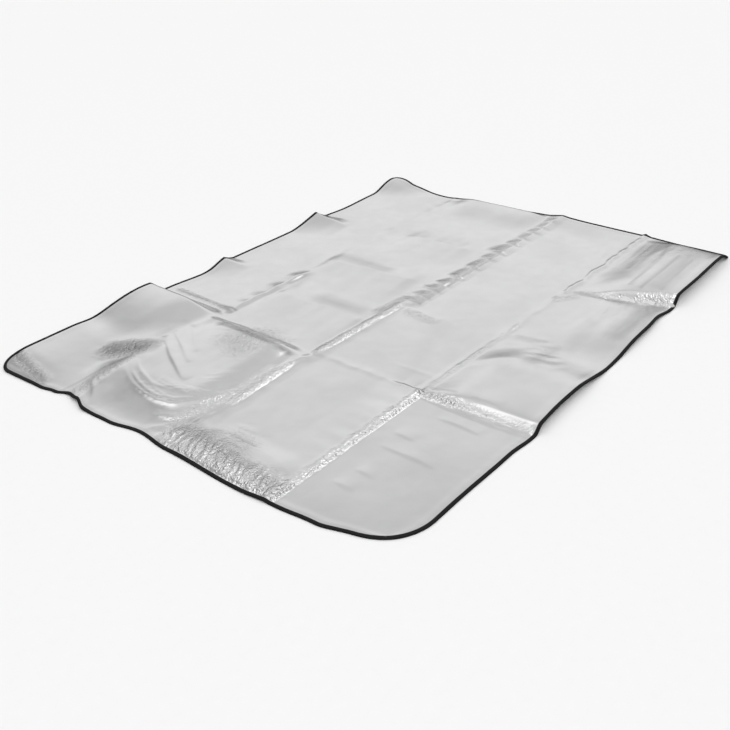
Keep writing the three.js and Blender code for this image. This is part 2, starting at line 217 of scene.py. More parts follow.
# Crinkled bands: a line, the band's half width, the wrinkles' height, spacing, length and slant off the
# square, and how finely the foil is crinkled
Band = namedtuple("Band", "x0 y0 x1 y1 wide high spacing length slant fine")
BANDS = {
    "near_fold_left_line": Band(-985, -386, -400, -397, 7, 0.8, 12, 20, 20, 0.8),
    "near_fold_centre": Band(-380, -395, 100, -405, 12, 0.8, 24, 40, 30, 0.3),
    "middle_left": Band(-690, 24, -540, 30, 20, 1.6, 22, 40, 30, 0.7),
    "middle_right": Band(60, -34, 960, -54, 20, 0.9, 22, 60, -10, 0.3),
    "cross_centre": Band(-14, -60, -24, -165, 20, 1.0, 20, 40, 10, 0.5),
    "left_comb_edge": Band(-980, -368, -978, -10, 20, 1.6, 13, 50, 13, 0.7),
    "mound_foot": Band(-880, 56, -700, 20, 26, 1.6, 15, 70, 70, 0.5),
    "step_apex": Band(-398, -392, -404, -500, 16, 1.6, 14, 40, 60, 0.7),
    "left_middle": Band(-890, -70, -900, 15, 34, 1.6, 18, 50, 20, 0.6),
    "far_left_hatch": Band(-955, 405, -640, 410, 26, 1.6, 22, 90, -30, 0.3),
    "middle_knot": Band(-735, 0, -505, 12, 14, 1.6, 16, 30, 40, 0.6),
    "far_valley": Band(-330, 425, -312, 690, 14, 1.6, 24, 24, 0, 0.5),
    "near_step": Band(-400, -398, -396, -742, 14, 0.6, 12, 26, 0, 0.6),
    "pleat_edge": Band(452, -640, 492, -745, 20, 2.0, 18, 40, 20, 1.0),
    "pleat": Band(405, -440, 450, -640, 12, 1.4, 22, 40, 20, 0.4),
    "pleat_apex": Band(330, -412, 380, -452, 16, 2.0, 26, 30, 20, 0.5),
}

# How far a band's sides wander, over what length, and how many half widths out they end
BAND_WANDER = 0.3
BAND_WANDER_LENGTH = 60
BAND_FADE = 1.5
MOST_CRINKLED = 1.8

# Bands of shingled crinkles, like the others, but each wrinkle rises more steeply than it falls
SHINGLES = {
    "left_comb": Band(-950, -345, -930, 0, 46, 5.4, 27, 60, 21, 0.9),
    "left_comb_end": Band(-985, -368, -930, -372, 22, 4.0, 22, 40, 0, 0.8),
    "far_left_patch": Band(-735, 517, -688, 438, 46, 4.0, 18, 45, 0, 1.8),
    "left_corner": Band(-955, 548, -922, 742, 24, 2.4, 22, 60, -50, 0.8),
    "mound_cliff": Band(-486, 195, -436, 195, 96, 2.2, 18, 50, 12, 0.8),
    "pad_streaks": Band(790, -705, 800, -455, 120, 2.4, 36, 260, 3, 0.1),
    "pad_end": Band(905, -640, 945, -590, 60, 2.6, 30, 120, 40, 0.2),
    "rise_streaks": Band(300, -735, 290, -600, 120, 2.6, 40, 220, 0, 0.1),
    "middle_patch": Band(-60, -585, 20, -530, 50, 2.6, 44, 90, 0, 0.1),
    "left_roll_side": Band(-905, -160, -860, -150, 70, 3.4, 34, 110, -10, 0.4),
    "middle_centre": Band(-385, -2, 5, -16, 17, 3.2, 22, 34, 38, 0.6),
    "middle_start": Band(-70, 12, 60, 0, 22, 3.0, 24, 40, -20, 0.8),
    "near_fold_left": Band(-985, -374, -400, -386, 15, 1.6, 22, 60, 50, 0.5),
}
# The share of its spacing in which a shingle rises, how far its place wanders, and its height: the mean, the
# least, how much it varies, and how quickly along and across the band
SHINGLE_RISE = 0.4
SHINGLE_WANDER = 0.6
SHINGLE_MEAN = 0.6
SHINGLE_LEAST = 0.1
SHINGLE_UNEVEN = 0.6
SHINGLE_CHANGE = (0.6, 1.5)

# Painted shade: places where the film's colour is darkened to stand in for the shade and dark reflections of
# creases too fine to model and of slopes that face away: a line, the half width beside it, how much, and how
# far its streaks run along the line
PaintedShade = namedtuple("PaintedShade", "x0 y0 x1 y1 wide share run")
PAINTED_SHADE = {
    "dome_patch": PaintedShade(-738, 515, -688, 440, 46, 1.0, 30),
    "dome_fold": PaintedShade(-800, 436, -700, 404, 10, 0.5, 30),
    "left_fold": PaintedShade(-960, 452, -820, 446, 7, 0.5, 60),
    "corner": PaintedShade(-965, 545, -926, 742, 20, 0.9, 20),
    "dome": PaintedShade(-530, 480, -520, 690, 60, 0.06, 200),
    "dome_low": PaintedShade(-600, 450, -500, 445, 20, 0.3, 60),
    "cliff": PaintedShade(-450, 55, -444, 350, 15, 0.9, 16),
    "cliff_top": PaintedShade(-443, 225, -440, 345, 17, 0.8, 20),
    "comb": PaintedShade(-940, -340, -895, 15, 32, 0.6, 10),
    "comb_inside": PaintedShade(-905, -110, -862, 10, 24, 0.6, 16),
    "roll_side": PaintedShade(-905, -300, -860, -60, 44, 0.3, 120),
    "mound_left": PaintedShade(-900, 120, -860, 330, 30, 0.05, 30),
    "wave_left": PaintedShade(-100, 70, -100, 220, 46, 0.55, 160),
    "wave_right": PaintedShade(205, 190, 215, 385, 34, 0.45, 160),
    "far_centre": PaintedShade(-75, 372, 30, 395, 24, 0.3, 60),
    "far_foot": PaintedShade(-318, 410, -318, 700, 7, 0.9, 40),
    "far_foot_patch": PaintedShade(-338, 418, -322, 478, 11, 0.8, 30),
    "far_foot_left": PaintedShade(-372, 424, -360, 460, 8, 0.6, 30),
    "near_middle": PaintedShade(-95, -560, 35, -572, 24, 0.4, 120),
    "near_middle_right": PaintedShade(60, -600, 235, -588, 30, 0.22, 120),
    "rise": PaintedShade(195, -685, 440, -705, 42, 0.7, 120),
    "pleat_foot": PaintedShade(408, -440, 424, -620, 9, 0.6, 60),
    "pad_one": PaintedShade(646, -512, 905, -512, 7, 0.55, 120),
    "pad_two": PaintedShade(505, -582, 753, -577, 8, 0.6, 120),
    "pad_three": PaintedShade(753, -577, 955, -540, 9, 0.6, 120),
    "pad_four": PaintedShade(500, -622, 802, -628, 9, 0.6, 120),
    "pad_five": PaintedShade(520, -681, 790, -676, 10, 0.55, 120),
    "pad_near": PaintedShade(540, -660, 860, -662, 40, 0.45, 120),
    "pad_end": PaintedShade(890, -720, 965, -560, 52, 0.85, 60),
    "pad_end_far": PaintedShade(925, -540, 975, -480, 22, 0.5, 40),
    "step_top": PaintedShade(-364, -402, -363, -480, 7, 0.5, 40),
    "arc_right": PaintedShade(40, -440, 52, -525, 10, 0.3, 60),
    "strip_middle": PaintedShade(-380, -330, -20, -200, 40, 0.1, 160),
}
# The painted shade's streaks: their width, how far they fray a shaded place's edge, and its even and its
# streaked darkening
STREAK_WIDTH = 12
STREAK_FRAY = 0.2
STREAK_EVEN = 0.85
STREAK_DEPTH = 0.35
# Painted shade on the pleats: how much a pleat's colour is darkened, how sharply from its edges, and the Y
# where that ends
PLEAT_PAINTED_SHADE = 0.4
PLEAT_PAINTED_SHADE_EDGE = 4
PLEAT_PAINTED_SHADE_FROM = -70

# Slack of the whole foil, broad and fine: height, and length along X and Y
Slack = namedtuple("Slack", "high along_x along_y")
SLACKS = [Slack(0.5, 130, 90), Slack(0.16, 46, 40)]

# Gathers beside the tape
PUCKER_HIGH = 0.7
PUCKER_SPACING = 15
PUCKER_LENGTH = 45
PUCKER_RUN = 26
# How far in the tape's lower leaf lifts the sheet, how far in the wrinkles are whole, and how far they are
# raised, so that their hollows stay open
LIFT_RUN = 28
FADE_IN_RUN = 10
WRINKLE_BASE = 0.6

# Seeds of the noise: the first, and the step from one row of a table to the next
SEEDS = {
    "band_side": (11, 0), "band": (11, 10), "slack": (14, 2), "pucker": (18, 0), "tape_gather": (32, 0),
    "tape_sway": (33, 0), "sheaf": (51, 3), "fold_sway": (72, 0), "fold_uneven": (73, 0),
    "shingle_place": (81, 5), "shingle_height": (82, 5), "dull": (101, 1),
}


def noise_seed(name, row=0):
    first, step = SEEDS[name]
    return first + step * row


def ease_down(share):
    """1 at 0 or less, easing to 0 at 1 or more."""
    return (1 + np.cos(np.pi * np.clip(share, 0, 1))) / 2


def from_table(rows, at):
    """A table's value at each place, eased from row to row."""
    value = np.full(np.shape(at), float(rows[0][1]))
    for (at0, by0), (at1, by1) in zip(rows, rows[1:]):
        share = (at - at0) / (at1 - at0)
        value = np.where(share >= 0, by1 + (by0 - by1) * ease_down(share), value)
    return value


def fall_off(distance, reach, level):
    """1 over the level share of a reach, easing to 0 at its end."""
    return ease_down((np.abs(distance) / reach - level) / (1 - level))


def cliff_share(cliff, x, y):
    """1 before a cliff's crest line, easing to 0 at its foot."""
    share = np.clip((y - cliff.y0) / (cliff.y1 - cliff.y0), 0, 1)
    past = (x - (cliff.x0 + (cliff.x1 - cliff.x0) * share)) * cliff.falls
    return ease_down(past / (cliff.run0 + (cliff.run1 - cliff.run0) * share))


def swell_height(name, x, y):
    swell = SWELLS[name]
    dx = x - swell.x
    dy = y - swell.y
    height = swell.high * fall_off(dx, np.where(dx < 0, swell.left, swell.right), swell.level_x)
    height = height * fall_off(dy, np.where(dy < 0, swell.near, swell.far), swell.level_y)
    for cliff in CLIFFS:
        if cliff.cuts == name:
            height = height * cliff_share(cliff, x, y)
    return height


def along_and_across(x, y, x0, y0, x1, y1):
    """Length of a line, and each point's distance along it and to its left."""
    length = math.hypot(x1 - x0, y1 - y0)
    along_x = (x1 - x0) / length
    along_y = (y1 - y0) / length
    along = (x - x0) * along_x + (y - y0) * along_y
    across = (y - y0) * along_x - (x - x0) * along_y
    return length, along, across


def past_ends(along, length):
    """How far beyond either end of a line each place along it is."""
    return np.maximum(0, np.maximum(-along, along - length))


def fold_height(fold, x, y):
    length, along, across = along_and_across(x, y, fold.x0, fold.y0, fold.x1, fold.y1)
    across = across + FOLD_SWAY * gradient_noise(along / FOLD_SWAY_LENGTH, fold.x0, noise_seed("fold_sway"))
    side = np.maximum(0, 1 - np.abs(across) / np.where(across > 0, fold.left, fold.right))
    ridge = fold.h0 + (fold.h1 - fold.h0) * np.clip(along / length, 0, 1)
    narrow = min(1, NARROW_FOLD / (fold.left + fold.right))
    change = gradient_noise(along / FOLD_UNEVEN_LENGTH, fold.y0, noise_seed("fold_uneven"))
    uneven = 1 + FOLD_UNEVEN * narrow * change
    return ridge * uneven * side**FOLD_SHARPNESS * ease_down(past_ends(along, length) / fold.ends)


def relief(x, y):
    """Height of the sheet's underside over the floor, without its wrinkles."""
    merged = np.cbrt(sum(swell_height(name, x, y) ** 3 for name in SWELLS))
    return merged + sum(fold_height(fold, x, y) for fold in FOLDS.values())


# The noise repeats after this many cells, and has a finer layer: how much finer and how strong it is
NOISE_CELLS = 256
FINER = 2.1
FINE_SHARE = 0.4


def gradient_noise(x, y, seed):
    """Smooth noise between about -1 and 1, with cells of 1 by 1."""
    angles = np.random.default_rng(seed).uniform(0, 2 * np.pi, (NOISE_CELLS, NOISE_CELLS))
    cell_x = np.floor(x).astype(int)
    cell_y = np.floor(y).astype(int)
    part_x = x - cell_x
    part_y = y - cell_y

    def corner(step_x, step_y):
        angle = angles[(cell_x + step_x) % NOISE_CELLS, (cell_y + step_y) % NOISE_CELLS]
        return np.cos(angle) * (part_x - step_x) + np.sin(angle) * (part_y - step_y)

    blend_x = part_x**3 * (part_x * (part_x * 6 - 15) + 10)
    blend_y = part_y**3 * (part_y * (part_y * 6 - 15) + 10)
    low = corner(0, 0) * (1 - blend_x) + corner(1, 0) * blend_x
    high = corner(0, 1) * (1 - blend_x) + corner(1, 1) * blend_x
    return 1.4 * (low * (1 - blend_y) + high * blend_y)


def creased_noise(x, y, seed):
    """Noise with sharp ridges, as in crumpled foil, between 0 and 1."""
    coarse = 1 - np.abs(gradient_noise(x, y, seed))
    fine = 1 - np.abs(gradient_noise(x * FINER + 7, y * FINER - 3, seed + 1))
    return (coarse**2 + FINE_SHARE * fine**2) / (1 + FINE_SHARE)


def curve_value(a, b, c, d, t):
    """Value at share t of the way from b to c, on a smooth curve through a, b, c and d."""
    return 0.5 * (2 * b + (c - a) * t + (2 * a - 5 * b + 4 * c - d) * t**2 + (3 * b - a - 3 * c + d) * t**3)


def smooth_path(points):
    """A path's points with a curve run through them."""
    ends = [points[0], *points, points[-1]]
    smooth = []
    for stretch in zip(ends, ends[1:], ends[2:], ends[3:]):
        for step in range(CURVE_STEPS):
            smooth.append(tuple(curve_value(*values, step / CURVE_STEPS) for values in zip(*stretch)))
    return smooth + [points[-1]]


def beside_path(path, x, y, reach):
    """Which points are near a path, how far to its left and along it those are, and its length."""
    xs, ys = zip(*path)
    near = (x > min(xs) - reach) & (x < max(xs) + reach) & (y > min(ys) - reach) & (y < max(ys) + reach)
    px, py = x[near], y[near]
    nearest = np.full(px.shape, np.inf)
    side = np.zeros(px.shape)
    place = np.zeros(px.shape)
    run = 0.0
    for (x0, y0), (x1, y1) in zip(path, path[1:]):
        length, along, across = along_and_across(px, py, x0, y0, x1, y1)
        held = np.clip(along, 0, length)
        distance = np.hypot(along - held, across)
        closer = distance < nearest
        nearest = np.where(closer, distance, nearest)
        side = np.where(closer, np.where(across > 0, 1, -1), side)
        place = np.where(closer, run + held, place)
        run += length
    return near, nearest * side, place, run


def wrinkle_height(wrinkle, x, y):
    """A ridge along the wrinkle's path, fading in and out over its length."""
    reach = WRINKLE_REACH * max(wrinkle.left, wrinkle.right)
    near, across, place, run = beside_path(smooth_path(wrinkle.path), x, y, reach)
    flank = np.where(across > 0, wrinkle.left, wrinkle.right)
    profile = np.exp(-np.abs(across / flank) ** WRINKLE_SHARPNESS)
    fade = np.sin(np.pi * np.clip(place / run, 0, 1)) ** 0.5
    height = np.zeros(x.shape)
    height[near] = wrinkle.high * profile * fade
    return height


def sheaf_height(number, sheaf, x, y):
    """Fine wrinkles side by side along a path, closing up where the sheaf narrows."""
    reach = SHEAF_REACH * max(sheaf.start_right, sheaf.start_left, sheaf.end_right, sheaf.end_left)
    near, across, place, run = beside_path(smooth_path(sheaf.path), x, y, reach)
    share = np.clip(place / run, 0, 1)
    right = sheaf.start_right + (sheaf.end_right - sheaf.start_right) * share
    left = sheaf.start_left + (sheaf.end_left - sheaf.start_left) * share
    level = (across + right) / (right + left)
    stripes = creased_noise(level * sheaf.count, place / sheaf.length, noise_seed("sheaf", number))
    fade = np.sin(np.pi * np.clip(level, 0, 1)) ** 0.6 * np.sin(np.pi * share) ** 0.5
    height = np.zeros(x.shape)
    height[near] = sheaf.high * stripes * fade
    return height


def band_share(band, x, y):
    """1 along the middle of a crinkled band, fading to 0 at its sides and ends."""
    length, along, across = along_and_across(x, y, band.x0, band.y0, band.x1, band.y1)
    change = gradient_noise(along / BAND_WANDER_LENGTH, across / BAND_WANDER_LENGTH, noise_seed("band_side"))
    reach = band.wide * BAND_FADE * (1 + BAND_WANDER * change)
    return ease_down(np.hypot(across, past_ends(along, length)) / reach)


def band_place(band, x, y):
    """Place along and across a band, leaning with its wrinkles."""
    _, along, across = along_and_across(x, y, band.x0, band.y0, band.x1, band.y1)
    return along + across * math.tan(math.radians(band.slant)), across


def band_height(number, band, x, y):
    along, across = band_place(band, x, y)
    stripes = creased_noise(along / band.spacing, across / band.length, noise_seed("band", number))
    return band.high * stripes * band_share(band, x, y)


def shingle_height(number, band, x, y):
    along, across = band_place(band, x, y)
    level = across / band.length
    wander = gradient_noise(along / band.spacing / 2, level, noise_seed("shingle_place", number))
    place = along / band.spacing + SHINGLE_WANDER * wander
    step = place - np.floor(place)
    rise = np.minimum(step / SHINGLE_RISE, (1 - step) / (1 - SHINGLE_RISE))
    seed = noise_seed("shingle_height", number)
    change = gradient_noise(place * SHINGLE_CHANGE[0] + 0.3, level * SHINGLE_CHANGE[1], seed)
    tall = np.maximum(SHINGLE_MEAN + SHINGLE_UNEVEN * change, SHINGLE_LEAST)
    return band.high * tall * rise * band_share(band, x, y)


def pleat_facet(pleat, x, y):
    """Height of a pleat as a share: 1 where it stands highest, 0 at its edges."""
    fold = FOLDS["middle_right"]
    up = y - (fold.y0 + (fold.y1 - fold.y0) * (x - fold.x0) / (fold.x1 - fold.x0))
    past_start = x - pleat.start - PLEAT_LEAN * up
    facet = 1 - np.hypot(past_start / (pleat.end - pleat.start), np.maximum(up, 0) / pleat.up)
    rise = np.clip(past_start / PLEAT_RISE + 0.5, 0, 1)
    drop = np.clip(1 + up / PLEAT_DROP, 0, 1)
    return np.clip(facet, 0, 1) * rise * drop


def painted_shade_amount(x, y):
    """How much painted shade darkens the film's colour, from 0 to 1."""
    dull = np.zeros(x.shape)
    for number, patch in enumerate(PAINTED_SHADE.values()):
        length, along, across = along_and_across(x, y, patch.x0, patch.y0, patch.x1, patch.y1)
        streak = gradient_noise(along / patch.run, across / STREAK_WIDTH, noise_seed("dull", number))
        level = np.hypot(across, past_ends(along, length)) / (patch.wide * BAND_FADE)
        fade = ease_down(level + STREAK_FRAY * streak)
        dull = np.maximum(dull, patch.share * fade * (STREAK_EVEN + STREAK_DEPTH * streak))
    # Painted shade on the pleats
    for pleat in PLEATS:
        facet = np.clip(PLEAT_PAINTED_SHADE_EDGE * pleat_facet(pleat, x, y), 0, 1)
        dull = np.maximum(dull, PLEAT_PAINTED_SHADE * facet * (y > PLEAT_PAINTED_SHADE_FROM))
    return np.clip(dull, 0, 1)


def crinkles(x, y):
    """How finely the foil is crinkled."""
    bands = [*BANDS.values(), *SHINGLES.values()]
    return np.clip(sum(band.fine * band_share(band, x, y) for band in bands), 0, MOST_CRINKLED)


def wrinkles(x, y):
    """Height of the foil's wrinkles over the relief."""
    height = sum(wrinkle_height(wrinkle, x, y) for wrinkle in WRINKLES.values())
    height = height + sum(sheaf_height(number, sheaf, x, y) for number, sheaf in enumerate(SHEAVES.values()))
    height = height + sum(band_height(number, band, x, y) for number, band in enumerate(BANDS.values()))
    height = height + sum(shingle_height(number, band, x, y) for number, band in enumerate(SHINGLES.values()))
    height = height + sum(pleat.high * pleat_facet(pleat, x, y) for pleat in PLEATS)
    for number, slack in enumerate(SLACKS):
        seed = noise_seed("slack", number)
        height = height + slack.high * gradient_noise(x / slack.along_x, y / slack.along_y, seed)
    return height


def drawn_in(x, y):
    """A straight-edged plan point, drawn in with the edges."""
    right = np.clip((x + HALF_LENGTH) / (2 * HALF_LENGTH), 0, 1)
    far = np.clip((y + HALF_WIDTH) / (2 * HALF_WIDTH), 0, 1)
    return (
        x + from_table(DRAWN_IN_LEFT, y) * (1 - right) - from_table(DRAWN_IN_RIGHT, y) * right,
        y + from_table(DRAWN_IN_NEAR, x) * (1 - far) - from_table(DRAWN_IN_FAR, x) * far,
    )


Corner = namedtuple("Corner", "side_x side_y x y radius")


def sheet_corners():
    """The sheet's corners, against the clock: which way each points, and its arc's centre and radius."""
    corners = []
    for name, outer_radius in CORNER_RADIUS.items():
        side_x = -1 if name.endswith("left") else 1
        side_y = -1 if name.startswith("near") else 1
        radius = outer_radius - TAPE_STANDS_OUT
        x = side_x * (HALF_LENGTH - radius)
        y = side_y * (HALF_WIDTH - radius)
        corners.append(Corner(side_x, side_y, x, y, radius))
    return corners


def rounded(x, y):
    """A straight grid's points moved inside the sheet's rounded corners."""
    moved_x = x
    moved_y = y
    for corner in sheet_corners():
        p = np.maximum(0, (x - corner.x) * corner.side_x / corner.radius)
        q = np.maximum(0, (y - corner.y) * corner.side_y / corner.radius)
        inside = (p > 0) & (q > 0)
        round_x = corner.x + corner.side_x * corner.radius * p * np.sqrt(1 - q * q / 2)
        round_y = corner.y + corner.side_y * corner.radius * q * np.sqrt(1 - p * p / 2)
        moved_x = np.where(inside, round_x, moved_x)
        moved_y = np.where(inside, round_y, moved_y)
    return moved_x, moved_y


# Spacing of the foil's grid, closer where it is creased: place and spacing
GRID_ALONG = [
    (-1000, 5.2), (-890, 5.0), (-860, 4.6), (-380, 4.6), (-340, 8.6), (30, 8.6), (50, 7.2), (1000, 8.0),
]
GRID_ACROSS = [
    (-750, 9.0), (-430, 8.6), (-410, 4.0), (-370, 3.2), (0, 3.3), (40, 5.2), (440, 5.4), (480, 9.0),
    (750, 9.4),
]
# How many cells of the foil's grid one cell of the underside takes up, each way
UNDERSIDE_STEP = 3
GRID_SAMPLES = 4001


def grid_lines(half, spacings):
    """Grid lines from -half to half, at a spacing that is given at some places, in whole underside cells."""
    at, spacing = zip(*spacings)
    fine = np.linspace(-half, half, GRID_SAMPLES)
    density = 1 / np.interp(fine, at, spacing)
    counted = np.concatenate([[0], np.cumsum((density[1:] + density[:-1]) / 2 * np.diff(fine))])
    cells = UNDERSIDE_STEP * round(counted[-1] / UNDERSIDE_STEP)
    return np.interp(np.linspace(0, counted[-1], cells + 1), counted, fine)


def edge_lift(distance):
    """How far the tape's lower leaf lifts the sheet, by the distance inside the sheet's rim."""
    return TAPE_STANDS_OUT * ease_down((distance - TAPE_COVER) / LIFT_RUN)


def puckers(x, y):
    """Small gathers that the sewing pulls into the foil beside the tape."""
    edge_x = HALF_LENGTH - np.abs(x)
    edge_y = HALF_WIDTH - np.abs(y)
    distance = np.minimum(edge_x, edge_y)
    along = np.where(edge_x < edge_y, y, x)
    fade = ease_down((distance - TAPE_COVER) / PUCKER_RUN)
    gathers = creased_noise(along / PUCKER_SPACING, distance / PUCKER_LENGTH, noise_seed("pucker"))
    return PUCKER_HIGH * fade * gathers


class Shade:
    """A shader socket that takes arithmetic, so that a finish is written as an expression."""

    def __init__(self, tree, socket):
        self.tree = tree
        self.socket = socket

    def node(self, kind, settings=None, inputs=None, output=0):
        made = self.tree.nodes.new(kind)
        for name, value in (settings or {}).items():
            if name == "stops":
                fill_ramp(made.color_ramp, value)
            else:
                setattr(made, name, value)
        for name, value in (inputs or {}).items():
            if isinstance(value, Shade):
                self.tree.links.new(value.socket, made.inputs[name])
            else:
                made.inputs[name].default_value = value
        return Shade(self.tree, made.outputs[output])

    def output(self, name):
        """Another output of the node that gave this value."""
        return Shade(self.tree, self.socket.node.outputs[name])

    def math(self, operation, *values):
        return self.node("ShaderNodeMath", {"operation": operation}, dict(enumerate(values)))

    def noise(self, scale, detail=2.0, roughness=0.5):
        """Noise at this place."""
        inputs = {"Vector": self, "Scale": scale, "Detail": detail, "Roughness": roughness}
        return self.node("ShaderNodeTexNoise", {"noise_dimensions": "3D"}, inputs)

    def smooth(self, low, high, out_low=0.0, out_high=1.0):
        """This value eased from one range to another."""
        inputs = {"Value": self, "From Min": low, "From Max": high, "To Min": out_low, "To Max": out_high}
        return self.node("ShaderNodeMapRange", {"interpolation_type": "SMOOTHSTEP"}, inputs)

    def mix(self, first, second):
        """A colour between two, by this share; the numbers are the node's colour sockets."""
        inputs = {"Factor": self, 6: first, 7: second}
        return self.node("ShaderNodeMix", {"data_type": "RGBA"}, inputs, output=2)

    def __add__(self, other):
        return self.math("ADD", self, other)

    __radd__ = __add__

    def __sub__(self, other):
        return self.math("SUBTRACT", self, other)

    def __rsub__(self, other):
        return self.math("SUBTRACT", other, self)

    def __mul__(self, other):
        return self.math("MULTIPLY", self, other)

    __rmul__ = __mul__

    def __truediv__(self, other):
        return self.math("DIVIDE", self, other)

    def __rtruediv__(self, other):
        return self.math("DIVIDE", other, self)


def fill_ramp(ramp, stops):
    while len(ramp.elements) < len(stops):
        ramp.elements.new(1.0)
    for element, (position, level) in zip(ramp.elements, stops):
        element.position = position
        element.color = (level, level, level, 1.0)


def new_material(name):
    """A material with a Principled shader and a node tree ready for expressions."""
    material = bpy.data.materials.new(name)
    material.use_nodes = True
    tree = material.node_tree
    surface = tree.nodes["Principled BSDF"]
    return material, Shade(tree, None), surface


def link(value, surface, socket):
    value.tree.links.new(value.socket, surface.inputs[socket])


def object_place(shade):
    return shade.node("ShaderNodeTexCoord", output="Object")


def attribute(shade, name):
    return shade.node("ShaderNodeAttribute", {"attribute_name": name}, output="Fac")


def set_finish(surface, tone, roughness, height):
    """Colour, roughness and relief of a finish; the height is in metres."""
    link(tone, surface, "Base Color")
    link(roughness, surface, "Roughness")
    bump = height.node("ShaderNodeBump", inputs={"Height": height, "Distance": 1.0, "Strength": 1.0})
    link(bump, surface, "Normal")


def crease_lines(place, scale):
    """Sharp lines along the middle level of a noise, 1 at their tops and 0 beside them."""
    line = 1 - place.math("ABSOLUTE", place.noise(scale, 1.0) - 0.5) * CREASE_SHARPNESS
    return place.math("MAXIMUM", line, 0.0)


# Colours of the finishes, dark to bright
# The film's painted-shade colour, standing in for the shade and dark reflections of fine creases and slopes
FILM_PAINTED_SHADE = (0.44, 0.44, 0.445, 1)
FILM_TONES = ((0.80, 0.80, 0.805, 1), (0.86, 0.86, 0.862, 1))
FOAM_TONES = ((0.70, 0.705, 0.70, 1), (0.80, 0.80, 0.79, 1))
TAPE_TONES = ((0.006, 0.006, 0.0065, 1), (0.026, 0.026, 0.028, 1))
THREAD_TONES = ((0.010, 0.010, 0.011, 1), (0.035, 0.035, 0.037, 1))
FLOOR_TONES = ((0.90, 0.90, 0.90, 1), (0.92, 0.92, 0.92, 1))
# The sharpness of the film's crease lines, and the spacing of the tape's ribs in millimetres
CREASE_SHARPNESS = 5
RIB_SPACING = 1.3


def foil_material():
    """Silver film: a soft mirror, finely creased beside the folds, its colour darkened by painted shade in
    patches and on the pleats.
    """
    material, shade, surface = new_material("silver_foil")
    place = object_place(shade)
    creases = crease_lines(place, 75.0) * 0.0016 + crease_lines(place, 160.0) * 0.0008
    ripple = place.noise(26.0)
    grain = place.noise(900.0, 2.0, 0.6)
    unshaded_tone = place.noise(5.0, 3.0, 0.55).smooth(0.3, 0.7).mix(*FILM_TONES)
    # Painted shade: the film's colour darkened towards its painted-shade colour by the mesh's painted shade
    # amount
    tone = attribute(shade, "dull").mix(unshaded_tone, FILM_PAINTED_SHADE)
    height = attribute(shade, "crinkle") * creases + ripple * 0.00035 + grain * 0.00002
    set_finish(surface, tone, ripple.smooth(0.3, 0.7, 0.15, 0.20), height)
    surface.inputs["Metallic"].default_value = 1.0
    return material


def foam_material():
    """White closed-cell foam, as it shows on the underside and at the cut rim."""
    material, shade, surface = new_material("white_foam")
    place = object_place(shade)
    cells = shade.node("ShaderNodeTexVoronoi", {"feature": "F1"}, {"Vector": place, "Scale": 700.0})
    cloud = place.noise(9.0, 3.0)
    height = cells * 0.00025 + cloud * 0.0006
    set_finish(surface, cloud.mix(*FOAM_TONES), cells.smooth(0.0, 0.8, 0.55, 0.75), height)
    return material


def tape_material():
    """Black woven tape: ribs across it, a fine weave and dusty highs."""
    material, shade, surface = new_material("black_tape")
    place = object_place(shade)
    rib = shade.math("SINE", attribute(shade, "tape_along") * (2 * math.pi / RIB_SPACING))
    weave = place.noise(1500.0, 2.0, 0.7)
    tone = (weave + rib * 0.12).smooth(0.35, 0.75).mix(*TAPE_TONES)
    height = rib * 0.00006 + weave * 0.00018 + place.noise(60.0) * 0.0002
    set_finish(surface, tone, weave.smooth(0.3, 0.7, 0.62, 0.85), height)
    surface.inputs["Specular IOR Level"].default_value = 0.12
    return material


def thread_material():
    """Black sewing thread, with the twist of its plies."""
    material, shade, surface = new_material("black_thread")
    waves = {"Vector": object_place(shade), "Scale": 900.0}
    twist = shade.node("ShaderNodeTexWave", {"bands_direction": "DIAGONAL"}, waves)
    set_finish(surface, twist.mix(*THREAD_TONES), twist.smooth(0.0, 1.0, 0.45, 0.6), twist * 0.0001)
    return material


def mesh_object(name, vertices, faces, materials, face_materials=None, attributes=None):
    """A smooth-shaded mesh piece from points in millimetres."""
    mesh = bpy.data.meshes.new(name)
    mesh.from_pydata((np.asarray(vertices) * MM).tolist(), [], faces)
    for material in materials:
        mesh.materials.append(material)
    if face_materials is not None:
        mesh.polygons.foreach_set("material_index", np.asarray(face_materials, np.int32))
    mesh.polygons.foreach_set("use_smooth", np.ones(len(mesh.polygons), bool))
    for field, values in (attributes or {}).items():
        layer = mesh.attributes.new(field, "FLOAT", "POINT")
        layer.data.foreach_set("value", np.asarray(values, np.float32))
    mesh.update()
    piece = bpy.data.objects.new(name, mesh)
    bpy.context.scene.collection.objects.link(piece)
    return piece


def grid_faces(first, rows, columns, seen_from_above):
    """The cells of a grid of points, which are numbered row by row from first."""
    faces = []
    for j in range(rows - 1):
        for i in range(columns - 1):
            a = first + j * columns + i
            right = a + 1
            far = a + columns
            faces.append((a, right, far + 1, far) if seen_from_above else (a, far, far + 1, right))
    return faces


def grid_border(first, rows, columns):
    """Indices once round a grid of points, against the clock, with the first again at the end."""
    grid = first + np.arange(rows * columns).reshape(rows, columns)
    return [*grid[0].tolist(), *grid[1:, -1].tolist(), *grid[-1, -2::-1].tolist(), *grid[-2::-1, 0].tolist()]


